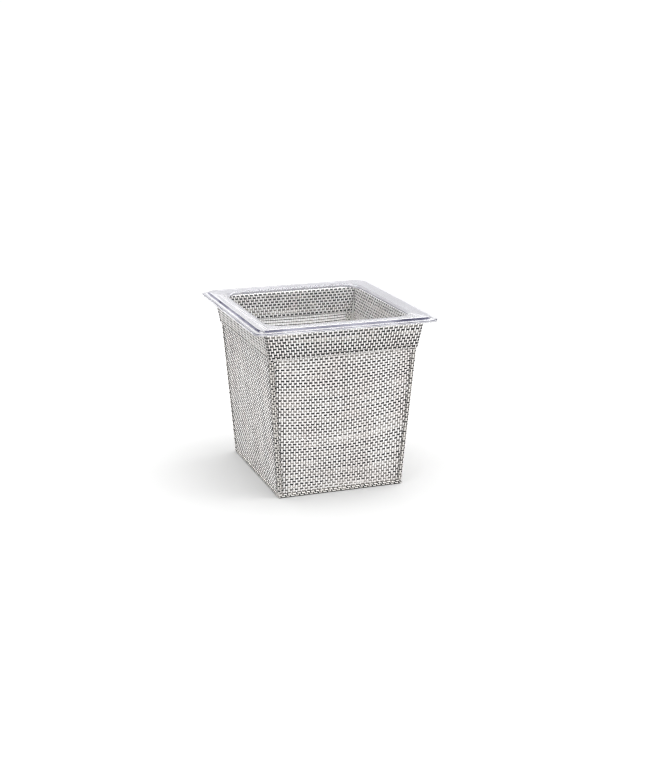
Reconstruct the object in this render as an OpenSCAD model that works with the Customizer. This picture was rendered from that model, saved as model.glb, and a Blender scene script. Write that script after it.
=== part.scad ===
// Woven food pan basket: a clear drop-in food pan that hangs by its rim in a
// tapered basket of woven vinyl mesh, sewn over a light wire frame.
// Millimetres, +Z up. The origin is the middle of the footprint, on the table.
// X runs across the front, Y from front to back.

/* [Pan] */
// Rim across the front, the standard sixth-size width
rim_w = 162; // [140:1:200]
// Rim from front to back, the standard sixth-size length
rim_d = 176; // [150:1:215]
// Depth from the rim's top face to the underside of the pan
pan_depth = 148; // [95:1:180]
// How far the rim reaches out past the pan's body
flange_w = 15.5; // [12:0.5:20]
// Thickness of the raised part of the rim
flange_t = 3.2; // [2.4:0.1:4.5]
// Width of the lower lip around the raised rim
lip_w = 4.5; // [3:0.1:6]
// Height of the lip's outer edge
lip_t = 2.4; // [1.6:0.1:3]
// Step from the lip up to the raised rim
step_h = 1.6; // [1:0.1:2.5]
// Width of the bead that turns down under the lip
bead_w = 2.6; // [1.5:0.1:3.5]
// Wall thickness of the pan
wall_t = 2.2; // [1.5:0.1:3.5]
// Pan's underside across the front, outside
pan_bottom_w = 105; // [85:1:110]
// Pan's underside from front to back, outside
pan_bottom_d = 119; // [95:1:124]
// Corner radius of the rim's outer edge
rim_r = 9; // [8:0.5:20]
// Corner radius of the raised rim
step_r = 8; // [6:0.5:16]
// Corner radius of the opening
opening_r = 18; // [12:0.5:22]
// Corner radius of the body at the bottom
bottom_r = 14; // [10:0.5:18]
// Fillet between the pan's walls and its floor, outside
floor_fillet = 8; // [4:0.5:9]
// Rounding of the opening's top edge
mouth_round = 2.5; // [1:0.1:3.5]

/* [Basket] */
// Height of the folded band around the top
band_h = 24.5; // [10:0.5:30]
// Gap between the pan's wall and the band under the rim
pan_gap = 0.6; // [0.3:0.1:3]
// Gap to the pan where the band ends, on the left and right walls
neck_gap_w = 0.6; // [0.3:0.1:6]
// Gap to the pan where the band ends, on the front and back walls
neck_gap_d = 1.7; // [0.3:0.1:6]
// Gap to the pan's underside edge, on the left and right walls
base_gap_w = 3.0; // [2.6:0.1:9]
// Gap to the pan's underside edge, on the front and back walls
base_gap_d = 6.3; // [2.6:0.1:12]
// Gap under the pan, between it and the base panel
floor_gap = 1.9; // [0.5:0.1:6]
// Gap between the rim's underside and the top of the band
rest_gap = 0.3; // [0.1:0.1:1]

/* [Wire frame] */
// Diameter of the frame's wire
wire_d = 2.5; // [2:0.1:4]
// Gap between a weld's two wires
weld_gap = 0.05; // [0.02:0.01:0.2]

/* [Cloth] */
// Thickness of the woven mesh
cloth_t = 0.7; // [0.5:0.05:1.2]
// Gap between sewn layers of mesh
seam_gap = 0.1; // [0.05:0.05:0.3]
// How far the wrapped corner stands out past the panels
ridge_h = 0.5; // [0.1:0.1:0.8]
// Width of the corner strip that shows inside the basket
strip_w = 5; // [3:0.5:10]
// Flat that the wrapped bottom edge stands on, cut into its underside
foot_flat = 0.3; // [0.1:0.05:0.4]

/* [Stitching] */
// Diameter of the sewing thread
thread_d = 0.6; // [0.3:0.1:1]
// Distance from one stitch to the next
stitch_pitch = 4.6; // [3.5:0.1:8]
// Length of a stitch that shows
stitch_l = 3; // [1.5:0.1:3.4]
// Height of the stitch row above the band's lower edge
band_stitch_h = 2.6; // [1:0.1:6]

/* [Hidden] */

// Colours of the moulded pan, the mesh, the coated wire and the thread
CLEAR = [0.93, 0.93, 0.97, 0.45];
MESH = "gainsboro";
MESH_DARK = "darkgray";
WIRE = "silver";
THREAD = "dimgray";

// Walls are numbered by the axis they face: 0 for left and right, 1 for front and back.
// Each wall is drawn facing +X and turned to its side.
RIGHT = 0;
BACK = 90;
LEFT = 180;
FRONT = 270;
SIDES = [RIGHT, BACK, LEFT, FRONT];

wire_r = wire_d / 2;
wrap_r = wire_r + seam_gap + cloth_t;    // outside of mesh wrapped round a wire
post_in = wrap_r - ridge_h;              // corner wire's axis, in from the panel's face
edge_in = post_in + wrap_r + seam_gap;   // where a panel stops short of a corner
foot_z = wrap_r - foot_flat;             // height of the bottom wire's axis
edge_top = foot_z + wrap_r + seam_gap;   // where the panels start, above the bottom edge

base_top = foot_z + cloth_t / 2;
pan_z = base_top + floor_gap;
height = pan_z + pan_depth;
step_z = height - step_h;
rim_under = height - flange_t;
basket_top = rim_under - rest_gap;
wire_z = basket_top - wrap_r;
neck_z = basket_top - band_h;

rim = [rim_w / 2, rim_d / 2];
pan_base = [pan_bottom_w / 2, pan_bottom_d / 2];
neck_gap = [neck_gap_w, neck_gap_d];
base_gap = [base_gap_w, base_gap_d];

function mix(a, b, t) = a + (b - a) * t;
function other(k) = 1 - k;
function axis_of(side) = (side == RIGHT || side == LEFT) ? 0 : 1;

// Half size of the pan's body outside, on wall k at height z
function pan_out(k, z) = mix(pan_base[k], rim[k] - flange_w, (z - pan_z) / (rim_under - pan_z));
// Half size of the band's outer face at the top
function top_h(k) = pan_out(k, basket_top) + pan_gap + 2 * wrap_r;
// Half size of the panel's outer face where the band ends, and at the table
function neck_h(k) = pan_out(k, neck_z) + neck_gap[k] + 2 * cloth_t + seam_gap;
function base_h(k) = pan_base[k] + base_gap[k] + cloth_t;
// Half size of the panel's outer face at height z: straight up to the neck, then flared
function panel_out(k, z) = z < neck_z
    ? mix(base_h(k), neck_h(k), z / neck_z)
    : mix(neck_h(k), top_h(k) - cloth_t - seam_gap, (z - neck_z) / (wire_z - neck_z));
// Half size of the bottom wire's axis
function foot_h(k) = panel_out(k, foot_z) - post_in;
// Half size of the band's outer face at height z
function band_out(k, z) = mix(neck_h(k) + seam_gap + cloth_t, top_h(k), (z - neck_z) / (wire_z - neck_z));

// A straight round rod from p to q
module rod(p, q, r) {
    d = q - p;
    along = norm(d);
    translate(p)
        rotate([0, acos(d[2] / along), atan2(d[1], d[0])])
            cylinder(h = along, r = r, $fn = 32);
}

// A prism with its section given as [distance from the middle, height], running along the wall
module wall_prism(section, length) {
    rotate([90, 0, 0])
        linear_extrude(height = length, center = true)
            polygon(section);
}

// A prism with its outline given as [position along the wall, height], through the wall
module outline_prism(outline, depth) {
    rotate([90, 0, 90])
        linear_extrude(height = depth)
            polygon(outline);
}

// Keeps what lies between two heights
module slab(z0, z1) {
    intersection() {
        children();
        translate([-rim_w, -rim_d, z0])
            cube([2 * rim_w, 2 * rim_d, z1 - z0]);
    }
}

// Keeps a wall's share of a mitred corner at the point c0 across, c1 along
module mitre(c0, c1, gap) {
    reach = 20;
    half0 = c1 - reach - gap;
    half1 = c1 + reach - gap;
    intersection() {
        children();
        linear_extrude(height = 2 * height)
            polygon([[c0 - reach, -half0], [c0 + reach, -half1], [c0 + reach, half1], [c0 - reach, half0]]);
    }
}

// Outline of a panel: its edges stop short of the corners by inset
function panel_outline(k, inset, z0, z1) = [
    [-panel_out(other(k), z0) + inset, z0],
    [panel_out(other(k), z0) - inset, z0],
    [panel_out(other(k), neck_z) - inset, neck_z],
    [panel_out(other(k), z1) - inset, z1],
    [-panel_out(other(k), z1) + inset, z1],
    [-panel_out(other(k), neck_z) + inset, neck_z]
];

// A solid through outlines of equal point count, each anticlockwise from above, capped at both ends.
// A folded outline runs out along one side and back along the other, so its caps are strips of quads.
module loft(rings, folded = false) {
    n = len(rings[0]);
    last = n * (len(rings) - 1);
    first_cap = folded
        ? [for (i = [0:n / 2 - 2]) [i, i + 1, n - 2 - i, n - 1 - i]]
        : [[for (i = [0:n - 1]) i]];
    last_cap = [for (face = first_cap) [for (i = [len(face) - 1:-1:0]) last + face[i]]];
    walls = [
        for (j = [0:len(rings) - 2], i = [0:n - 1])
            let (k = (i + 1) % n)
            [j * n + i, (j + 1) * n + i, (j + 1) * n + k, j * n + k]
    ];
    polyhedron(points = [for (ring = rings, p = ring) p],
               faces = concat(first_cap, walls, last_cap), convexity = 6);
}

// ---- The clear pan ----

// One rounded rectangle of points at height z
corner_steps = 8;
function ring(hx, hy, r, z) = [
    for (c = [0:3], s = [0:corner_steps])
        let (a = 90 * (c + s / corner_steps),
             sx = (c == 0 || c == 3) ? 1 : -1,
             sy = (c < 2) ? 1 : -1)
        [sx * (hx - r) + r * cos(a), sy * (hy - r) + r * sin(a), z]
];
function rim_ring(inset, r, z) = ring(rim[0] - inset, rim[1] - inset, r, z);
function body_ring(inset, r, z) = ring(pan_out(0, z) - inset, pan_out(1, z) - inset, r, z);
// A ring on a fillet of radius f that turns the wall into the floor
function fillet_ring(inset, f, r, z, a) =
    ring(pan_out(0, z + f) - inset - f * (1 - sin(a)),
         pan_out(1, z + f) - inset - f * (1 - sin(a)),
         r - f * (1 - sin(a)), z + f * (1 - cos(a)));

edge_round = 0.6;                          // rounding of the lip and the raised rim
inner_fillet = floor_fillet - wall_t;
mouth_in = flange_w + wall_t - mouth_round;
FILLET_ANGLES = [0, 22.5, 45, 67.5, 90];

pan_rings = concat(
    [for (a = FILLET_ANGLES) fillet_ring(0, floor_fillet, bottom_r, pan_z, a)],
    [
        body_ring(0, opening_r + wall_t, rim_under),
        rim_ring(bead_w + edge_round, rim_r - bead_w - edge_round, rim_under),
        rim_ring(bead_w, rim_r - bead_w, step_z - lip_t),
        rim_ring(edge_round, rim_r - edge_round, step_z - lip_t),
        rim_ring(0, rim_r, step_z - lip_t + edge_round),
        rim_ring(0, rim_r, step_z - edge_round),
        rim_ring(edge_round, rim_r - edge_round, step_z),
        rim_ring(lip_w, step_r, step_z),
        rim_ring(lip_w + edge_round / 3, step_r, height - edge_round),
        rim_ring(lip_w + edge_round, step_r, height)
    ],
    [for (a = [0, 30, 60, 90])
        rim_ring(mouth_in + mouth_round * sin(a), opening_r, height - mouth_round * (1 - cos(a)))],
    [for (i = [0:len(FILLET_ANGLES) - 1])
        let (a = FILLET_ANGLES[len(FILLET_ANGLES) - 1 - i])
        fillet_ring(wall_t, inner_fillet, bottom_r - wall_t, pan_z + wall_t, a)]
);

module pan() {
    color(CLEAR)
        loft(pan_rings);
}

// ---- The wire frame ----

wire_sides = 24;                           // facets round a wire

// A rectangle of wire with mitred corners, its axis at half sizes h[0] and h[1]
module wire_loop(h, z) {
    corners = [[1, 1], [-1, 1], [-1, -1], [1, -1]];
    points = [for (c = corners, i = [0:wire_sides - 1])
        let (a = 360 * i / wire_sides, reach = wire_r * cos(a))
        [c[0] * (h[0] + reach), c[1] * (h[1] + reach), z + wire_r * sin(a)]];
    faces = [for (c = [0:3], i = [0:wire_sides - 1])
        let (d = (c + 1) % 4, k = (i + 1) % wire_sides)
        [c * wire_sides + i, c * wire_sides + k, d * wire_sides + k, d * wire_sides + i]];
    color(WIRE)
        polyhedron(points = points, faces = faces, convexity = 6);
}

module top_hoop() {
    wire_loop([top_h(0) - wrap_r, top_h(1) - wrap_r], wire_z);
}

module bottom_hoop() {
    wire_loop([foot_h(0), foot_h(1)], foot_z);
}

// A solid at the corner at signs sx, sy. Its outline is given as distances in from the corner's
// two walls, [from the side wall, from the front or back wall], and follows them up the levels.
module corner_solid(outline, levels, sx, sy, folded = false) {
    mirror([sx < 0 ? 1 : 0, 0, 0])
        mirror([0, sy > 0 ? 1 : 0, 0])
            loft([for (z = levels)
                [for (p = outline) [panel_out(0, z) - p[0], p[1] - panel_out(1, z), z]]], folded);
}

// A corner wire, bent outward at the neck
module post(sx, sy) {
    outline = [for (i = [0:wire_sides - 1])
        let (a = 360 * i / wire_sides)
        [post_in - wire_r * cos(a), post_in + wire_r * sin(a)]];
    levels = [foot_z + wire_r + weld_gap, neck_z, wire_z - wire_r - weld_gap];
    color(WIRE)
        corner_solid(outline, levels, sx, sy);
}

// ---- The mesh ----

// One wall of mesh, bent outward where the band starts
module panel(side) {
    k = axis_of(side);
    z1 = wire_z - wire_r - seam_gap;
    section = [
        [panel_out(k, edge_top), edge_top],
        [panel_out(k, neck_z), neck_z],
        [panel_out(k, z1), z1],
        [panel_out(k, z1) - cloth_t, z1],
        [panel_out(k, neck_z) - cloth_t, neck_z],
        [panel_out(k, edge_top) - cloth_t, edge_top]
    ];
    color(MESH)
        rotate([0, 0, side])
            intersection() {
                wall_prism(section, 2 * rim_d);
                outline_prism(panel_outline(k, edge_in, edge_top, z1), rim_d);
            }
}

module base_panel() {
    hx = foot_h(0) - wrap_r - seam_gap;
    hy = foot_h(1) - wrap_r - seam_gap;
    color(MESH)
        translate([-hx, -hy, foot_z - cloth_t / 2])
            cube([2 * hx, 2 * hy, cloth_t]);
}

// The folded band on one wall: an outer layer that turns over the wire, and an inner layer
module band(side) {
    k = axis_of(side);
    out_top = top_h(k);
    in_top = top_h(k) - 2 * wrap_r;
    out_neck = band_out(k, neck_z);
    in_neck = neck_h(k) - 2 * cloth_t - seam_gap;
    fold = 1;                                       // slant at the fold's two edges
    fold_in = fold + cloth_t * (sqrt(2) - 1);       // the same slant on the inside
    overlap = 0.2;                                  // where the two layers join
    outer_layer = [
        [out_neck, neck_z],
        [out_top, wire_z],
        [out_top, basket_top - fold],
        [out_top - fold, basket_top],
        [in_top + fold, basket_top],
        [in_top, basket_top - fold],
        [in_top, basket_top - fold_in],
        [in_top + cloth_t, basket_top - fold_in],
        [in_top + fold_in, basket_top - cloth_t],
        [out_top - fold_in, basket_top - cloth_t],
        [out_top - cloth_t, basket_top - fold_in],
        [out_top - cloth_t, wire_z],
        [out_neck - cloth_t, neck_z]
    ];
    inner_layer = [
        [in_neck + cloth_t, neck_z],
        [in_top + cloth_t, wire_z],
        [in_top + cloth_t, basket_top - fold_in + overlap],
        [in_top, basket_top - fold_in + overlap],
        [in_top, wire_z],
        [in_neck, neck_z]
    ];
    color(MESH)
        rotate([0, 0, side])
            union() {
                mitre(top_h(k), top_h(other(k)), seam_gap)
                    wall_prism(outer_layer, 2 * rim_d);
                intersection() {
                    wall_prism(inner_layer, 2 * rim_d);
                    outline_prism(panel_outline(k, edge_in, edge_top, basket_top), rim_d);
                }
            }
}

// The strip that wraps round a corner wire, its two ends sewn behind the panels
module corner_wrap(sx, sy) {
    steps = 16;
    face = cloth_t + seam_gap;         // the side of an end that lies on its panel
    back = face + cloth_t;             // the side that shows inside the basket
    end = edge_in + strip_w;
    inner_r = wire_r + seam_gap;
    // angles at which the outside and the inside of the wrap run into the strip's ends
    out_a = 90 - asin((face - post_in) / wrap_r);
    in_a = 90 - asin((back - post_in) / inner_r);
    function turn(r, a0, i) = let (a = mix(a0, 450 - a0, i / steps))
        [post_in + r * cos(a), post_in + r * sin(a)];
    outline = concat(
        [[back, end]],
        [for (i = [0:steps]) turn(inner_r, in_a, i)],
        [[end, back], [end, face]],
        [for (i = [0:steps]) turn(wrap_r, out_a, steps - i)],
        [[face, end]]
    );
    color(MESH_DARK)
        corner_solid(outline, [edge_top, neck_z - seam_gap], sx, sy, folded = true);
}

// The strip that wraps the bottom wire along one wall
module base_edge(side) {
    k = axis_of(side);
    across = foot_h(k);
    along = foot_h(other(k));
    color(MESH_DARK)
        rotate([0, 0, side])
            slab(0, height)
                mitre(across, along, seam_gap)
                    difference() {
                        rod([across, -rim_d, foot_z], [across, rim_d, foot_z], wrap_r);
                        rod([across, -2 * rim_d, foot_z], [across, 2 * rim_d, foot_z], wire_r + seam_gap);
                        for (s = [-1, 1])
                            rod([across, s * along, foot_z],
                                [panel_out(k, neck_z) - post_in, s * (panel_out(other(k), neck_z) - post_in), neck_z],
                                wire_r + seam_gap);
                    }
}

// ---- The stitching ----

// The row of stitches along the lower edge of the bands
module band_stitching() {
    z = neck_z + band_stitch_h;
    color(THREAD)
        for (side = SIDES) {
            k = axis_of(side);
            out = band_out(k, z) + thread_d / 2 + seam_gap / 2;
            count = floor(2 * (band_out(other(k), z) - edge_in) / stitch_pitch);
            rotate([0, 0, side])
                for (i = [0:count - 1])
                    translate([out, (i - (count - 1) / 2) * stitch_pitch, z])
                        rotate([90, 0, 0])
                            cylinder(h = stitch_l, r = thread_d / 2, center = true, $fn = 16);
        }
}

// The rows of stitches beside the wrapped corners, two on each panel
module corner_stitching() {
    in = edge_in + thread_d;
    first = edge_top + stitch_pitch / 2;
    count = floor((neck_z - first - stitch_l) / stitch_pitch) + 1;
    color(THREAD)
        for (side = SIDES) {
            k = axis_of(side);
            rotate([0, 0, side])
                for (i = [0:count - 1], s = [-1, 1]) {
                    z = first + i * stitch_pitch;
                    out = thread_d / 2 + seam_gap / 2;
                    rod([panel_out(k, z) + out, s * (panel_out(other(k), z) - in), z],
                        [panel_out(k, z + stitch_l) + out, s * (panel_out(other(k), z + stitch_l) - in), z + stitch_l],
                        thread_d / 2);
                }
        }
}

pan();
top_hoop();
bottom_hoop();
post(-1, -1);  // post_front_left
post(1, -1);  // post_front_right
post(-1, 1);  // post_back_left
post(1, 1);  // post_back_right
panel(FRONT);  // front_panel
panel(BACK);  // back_panel
panel(LEFT);  // left_panel
panel(RIGHT);  // right_panel
base_panel();
band(FRONT);  // front_band
band(BACK);  // back_band
band(LEFT);  // left_band
band(RIGHT);  // right_band
corner_wrap(-1, -1);  // corner_front_left
corner_wrap(1, -1);  // corner_front_right
corner_wrap(-1, 1);  // corner_back_left
corner_wrap(1, 1);  // corner_back_right
base_edge(FRONT);  // front_base_edge
base_edge(BACK);  // back_base_edge
base_edge(LEFT);  // left_base_edge
base_edge(RIGHT);  // right_base_edge
band_stitching();
corner_stitching();
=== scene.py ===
"""Looks of the woven food pan basket: its yarns, folded bands, wrapped corners and clear pan.

Sizes are in millimetres until a mesh is finished. A finished mesh is in metres, in the frame's place.
"""

import logging
import math
from collections.abc import Callable, Sequence
from dataclasses import dataclass, field
from enum import Enum

import bmesh
import bpy
import numpy as np
from mathutils import Matrix, Vector


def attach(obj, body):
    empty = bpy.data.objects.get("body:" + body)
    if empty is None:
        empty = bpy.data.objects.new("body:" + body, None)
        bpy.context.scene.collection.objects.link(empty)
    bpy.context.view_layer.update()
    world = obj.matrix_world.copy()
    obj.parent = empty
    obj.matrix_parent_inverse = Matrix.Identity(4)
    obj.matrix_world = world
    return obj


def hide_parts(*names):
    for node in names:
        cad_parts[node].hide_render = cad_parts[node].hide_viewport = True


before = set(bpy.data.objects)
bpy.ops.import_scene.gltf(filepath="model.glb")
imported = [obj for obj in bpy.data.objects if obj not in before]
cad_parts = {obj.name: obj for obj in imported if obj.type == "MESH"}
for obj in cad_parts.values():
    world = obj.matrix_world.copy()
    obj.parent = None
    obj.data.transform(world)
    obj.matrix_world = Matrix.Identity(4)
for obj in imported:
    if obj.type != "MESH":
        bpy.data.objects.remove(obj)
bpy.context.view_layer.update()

log = logging.getLogger("basket")
MM = 0.001
Lay = Callable[[np.ndarray], np.ndarray]


# ---- Helpers ----


def linear(code: str) -> tuple[float, float, float, float]:
    """Turns an sRGB hex colour into linear light.

    Args:
        code: The colour, such as "#f2f0ec".

    Returns:
        Red, green, blue and alpha, linear.
    """
    parts = [int(code[i : i + 2], 16) / 255 for i in (1, 3, 5)]
    low = 0.04045
    light = [c / 12.92 if c <= low else ((c + 0.055) / 1.055) ** 2.4 for c in parts]
    return light[0], light[1], light[2], 1.0


def add_node(
    tree: bpy.types.NodeTree, kind: str, values: dict | None = None, links: dict | None = None, **settings
) -> bpy.types.Node:
    """Adds one node with its settings, socket values and incoming links.

    Args:
        tree: The node tree to add to.
        kind: The node's type name.
        values: Socket name or number to value.
        links: Socket name or number to the output socket that feeds it.
        **settings: Attributes of the node itself.

    Returns:
        The new node.
    """
    node = tree.nodes.new(kind)
    for key, value in settings.items():
        setattr(node, key, value)
    for key, value in (values or {}).items():
        node.inputs[key].default_value = value
    for key, source in (links or {}).items():
        tree.links.new(source, node.inputs[key])
    return node


def new_material(name: str) -> tuple[bpy.types.Material, bpy.types.NodeTree]:
    """Makes a material that uses nodes.

    Args:
        name: What the finish is and how it was made.

    Returns:
        The material and its node tree.
    """
    mat = bpy.data.materials.new(name)
    mat.use_nodes = True
    return mat, mat.node_tree


def points_of(bm: bmesh.types.BMesh) -> np.ndarray:
    """Returns the mesh's vertices as rows of x, y, z."""
    return np.array([v.co[:] for v in bm.verts], float).reshape(-1, 3)


def move_points(bm: bmesh.types.BMesh, points: np.ndarray) -> None:
    """Puts the mesh's vertices at the given rows of x, y, z."""
    for vert, point in zip(bm.verts, points.tolist()):
        vert.co = point


def finish_piece(bm: bmesh.types.BMesh, name: str, material: bpy.types.Material) -> bpy.types.Object:
    """Turns a mesh in millimetres into a finished object at the origin.

    Args:
        bm: The mesh, which is freed.
        name: The piece's name.
        material: Its finish.

    Returns:
        The object, linked to the scene.
    """
    bmesh.ops.scale(bm, vec=(MM, MM, MM), verts=bm.verts)
    for face in bm.faces:
        face.smooth = True
    mesh = bpy.data.meshes.new(name)
    bm.to_mesh(mesh)
    bm.free()
    mesh.materials.append(material)
    piece = bpy.data.objects.new(name, mesh)
    bpy.context.scene.collection.objects.link(piece)
    return piece


class Body(Enum):
    """The frame's two bodies."""

    BASKET = "basket"
    PAN = "pan"


def dress(piece: bpy.types.Object, body: Body, slot: str, *nodes: str) -> None:
    """Rides a piece on its body and hides the CAD nodes that it stands for.

    Args:
        piece: The piece.
        body: The body that it rides.
        slot: The name of its slot, such as woven_mesh; not used.
        *nodes: The CAD nodes that it replaces.
    """
    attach(piece, body.value)
    if nodes:
        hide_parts(*nodes)
    log.info("%s: %d faces on %s", piece.name, len(piece.data.polygons), body.value)


# ---- Finishes ----


@dataclass(frozen=True)
class VinylYarn:
    """Polyester yarn extruded into a smooth PVC skin, dyed tone by tone.

    The mesh's own attribute "tone" picks the dye, from 0, the darkest, to 1. The skin gives a soft,
    broad highlight, and its slightly uneven thickness makes that highlight waver along the yarn.
    Broad patches of the cloth carry a faint tint.
    """

    name: str
    dyes: tuple[tuple[float, str], ...]
    roughness: float = 0.5
    patch_mm: float = 26.0
    patch_tint: str = "#ffffff"
    patch_share: float = 0.0
    patch_from: float = 0.42
    patch_to: float = 0.62
    skin_mm: float = 0.8
    skin_depth_mm: float = 0.06
    skin_strength: float = 0.25
    ior: float = 1.5

    def material(self) -> bpy.types.Material:
        """Returns the finish as a material.

        Returns:
            The material.
        """
        mat, tree = new_material(self.name)
        shader = tree.nodes["Principled BSDF"]
        tone = add_node(tree, "ShaderNodeAttribute", attribute_name="tone")
        ramp = add_node(tree, "ShaderNodeValToRGB", links={"Fac": tone.outputs["Fac"]})
        steps = ramp.color_ramp.elements
        while len(steps) < len(self.dyes):
            steps.new(1.0)
        for step, (place, code) in zip(steps, self.dyes):
            step.position, step.color = place, linear(code)
        where = add_node(tree, "ShaderNodeTexCoord")
        patch = add_node(
            tree, "ShaderNodeTexNoise", {"Scale": 1 / (self.patch_mm * MM), "Detail": 2.0},
            {"Vector": where.outputs["Object"]},
        )
        share = add_node(
            tree, "ShaderNodeMapRange",
            {"From Min": self.patch_from, "From Max": self.patch_to, "To Max": self.patch_share},
            {"Value": patch.outputs["Fac"]},
        )
        tint = add_node(
            tree, "ShaderNodeMix", {"B": linear(self.patch_tint)},
            {"Factor": share.outputs["Result"], "A": ramp.outputs["Color"]},
            data_type="RGBA", blend_type="MULTIPLY",
        )
        skin = add_node(
            tree, "ShaderNodeTexNoise", {"Scale": 1 / (self.skin_mm * MM), "Detail": 2.0},
            {"Vector": where.outputs["Object"]},
        )
        bump = add_node(
            tree, "ShaderNodeBump", {"Strength": self.skin_strength, "Distance": self.skin_depth_mm * MM},
            {"Height": skin.outputs["Fac"]},
        )
        shader.inputs["Roughness"].default_value = self.roughness
        shader.inputs["IOR"].default_value = self.ior
        tree.links.new(tint.outputs["Result"], shader.inputs["Base Color"])
        tree.links.new(bump.outputs["Normal"], shader.inputs["Normal"])
        return mat


@dataclass(frozen=True)
class ClearPlastic:
    """Moulded clear polycarbonate: glassy walls under a rim that is milkier where it is thicker.

    The haze starts just below the rim, between the heights haze_from and haze_to in millimetres.
    Where the streak share is above 0, blue-grey painted reflection streaks are mixed into the haze; on the
    rim's upright faces they make a painted dark line round the steps.
    Shadow and soft light pass straight through, as they do through a thin clear wall.
    """

    name: str = "moulded_clear_polycarbonate"
    tint: str = "#ffffff"
    rim_tint: str = "#e4e4e9"
    haze: str = "#9b9b9f"
    wall_haze: float = 0.03
    rim_haze: float = 0.32
    haze_from: float = 148.0
    haze_to: float = 150.0
    # colour of the painted reflection streaks and of the painted dark line round the rim's steps
    edge: str = "#8c8ca6"
    painted_streak_share: float = 0.0
    streak_mm: float = 30.0
    streak_from: float = 0.4
    streak_to: float = 0.62
    roughness: float = 0.03
    ior: float = 1.49

    def material(self) -> bpy.types.Material:
        """Returns the finish as a material.

        Returns:
            The material.
        """
        mat, tree = new_material(self.name)
        glass = tree.nodes["Principled BSDF"]
        out = tree.nodes["Material Output"]
        glass.inputs["Roughness"].default_value = self.roughness
        glass.inputs["IOR"].default_value = self.ior
        glass.inputs["Transmission Weight"].default_value = 1.0
        where = add_node(tree, "ShaderNodeTexCoord")
        place = add_node(tree, "ShaderNodeSeparateXYZ", links={0: where.outputs["Object"]})
        span = {"From Min": self.haze_from * MM, "From Max": self.haze_to * MM}
        shares = {"To Min": self.wall_haze, "To Max": self.rim_haze}
        height = {"Value": place.outputs["Z"]}
        milky = add_node(tree, "ShaderNodeMapRange", {**span, **shares}, height)
        depth = add_node(tree, "ShaderNodeMapRange", span, height)
        body = add_node(
            tree, "ShaderNodeMix", {"A": linear(self.tint), "B": linear(self.rim_tint)},
            {"Factor": depth.outputs["Result"]}, data_type="RGBA",
        )
        tree.links.new(body.outputs["Result"], glass.inputs["Base Color"])
        # painted reflection streaks: noise mixes the edge colour into the haze colour, up to the streak share
        cloud = add_node(
            tree, "ShaderNodeTexNoise", {"Scale": 1 / (self.streak_mm * MM), "Detail": 1.0},
            {"Vector": where.outputs["Object"]},
        )
        streak = add_node(
            tree, "ShaderNodeMapRange",
            {"From Min": self.streak_from, "From Max": self.streak_to, "To Max": self.painted_streak_share},
            {"Value": cloud.outputs["Fac"]},
        )
        colour = add_node(
            tree, "ShaderNodeMix", {"A": linear(self.haze), "B": linear(self.edge)},
            {"Factor": streak.outputs["Result"]}, data_type="RGBA",
        )
        haze = add_node(tree, "ShaderNodeBsdfDiffuse", links={"Color": colour.outputs["Result"]})
        cloudy = add_node(
            tree, "ShaderNodeMixShader",
            links={0: milky.outputs["Result"], 1: glass.outputs["BSDF"], 2: haze.outputs["BSDF"]},
        )
        clear = add_node(tree, "ShaderNodeBsdfTransparent", {"Color": linear("#ffffff")})
        path = add_node(tree, "ShaderNodeLightPath")
        soft = add_node(
            tree, "ShaderNodeMath",
            links={0: path.outputs["Is Shadow Ray"], 1: path.outputs["Is Diffuse Ray"]}, operation="MAXIMUM",
        )
        mixed = add_node(
            tree, "ShaderNodeMixShader",
            links={0: soft.outputs[0], 1: cloudy.outputs["Shader"], 2: clear.outputs["BSDF"]},
        )
        tree.links.new(mixed.outputs["Shader"], out.inputs["Surface"])
        return mat


@dataclass(frozen=True)
class CoatedWire:
    """Steel wire with a light grey powder coat: even, fine-grained, half matt."""

    name: str = "powder_coated_steel_wire"
    coat: str = "#c9c8c6"
    worn: str = "#b4b2af"
    grain_mm: float = 0.6
    grain_depth_mm: float = 0.04
    grain_strength: float = 0.3
    roughness: float = 0.45

    def material(self) -> bpy.types.Material:
        """Returns the finish as a material.

        Returns:
            The material.
        """
        mat, tree = new_material(self.name)
        shader = tree.nodes["Principled BSDF"]
        where = add_node(tree, "ShaderNodeTexCoord")
        grain = add_node(
            tree, "ShaderNodeTexNoise", {"Scale": 1 / (self.grain_mm * MM), "Detail": 3.0},
            {"Vector": where.outputs["Object"]},
        )
        colour = add_node(
            tree, "ShaderNodeMix", {"A": linear(self.coat), "B": linear(self.worn)},
            {"Factor": grain.outputs["Fac"]}, data_type="RGBA",
        )
        bump = add_node(
            tree, "ShaderNodeBump", {"Strength": self.grain_strength, "Distance": self.grain_depth_mm * MM},
            {"Height": grain.outputs["Fac"]},
        )
        shader.inputs["Roughness"].default_value = self.roughness
        tree.links.new(colour.outputs["Result"], shader.inputs["Base Color"])
        tree.links.new(bump.outputs["Normal"], shader.inputs["Normal"])
        return mat


@dataclass(frozen=True)
class SewingThread:
    """Twisted polyester thread: dull, with a lighter and a darker ply."""

    name: str
    dark: str
    light: str
    ply_mm: float = 0.7
    wave_scale: float = 20.0
    distortion: float = 1.5
    roughness: float = 0.75

    def material(self) -> bpy.types.Material:
        """Returns the finish as a material.

        Returns:
            The material.
        """
        mat, tree = new_material(self.name)
        shader = tree.nodes["Principled BSDF"]
        where = add_node(tree, "ShaderNodeTexCoord")
        ply = add_node(
            tree, "ShaderNodeTexWave",
            {"Scale": 1 / (self.ply_mm * MM) / self.wave_scale, "Distortion": self.distortion},
            {"Vector": where.outputs["Object"]}, bands_direction="DIAGONAL",
        )
        colour = add_node(
            tree, "ShaderNodeMix", {"A": linear(self.dark), "B": linear(self.light)},
            {"Factor": ply.outputs["Fac"]}, data_type="RGBA",
        )
        shader.inputs["Roughness"].default_value = self.roughness
        tree.links.new(colour.outputs["Result"], shader.inputs["Base Color"])
        return mat


# ---- Shape of the basket ----


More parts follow.
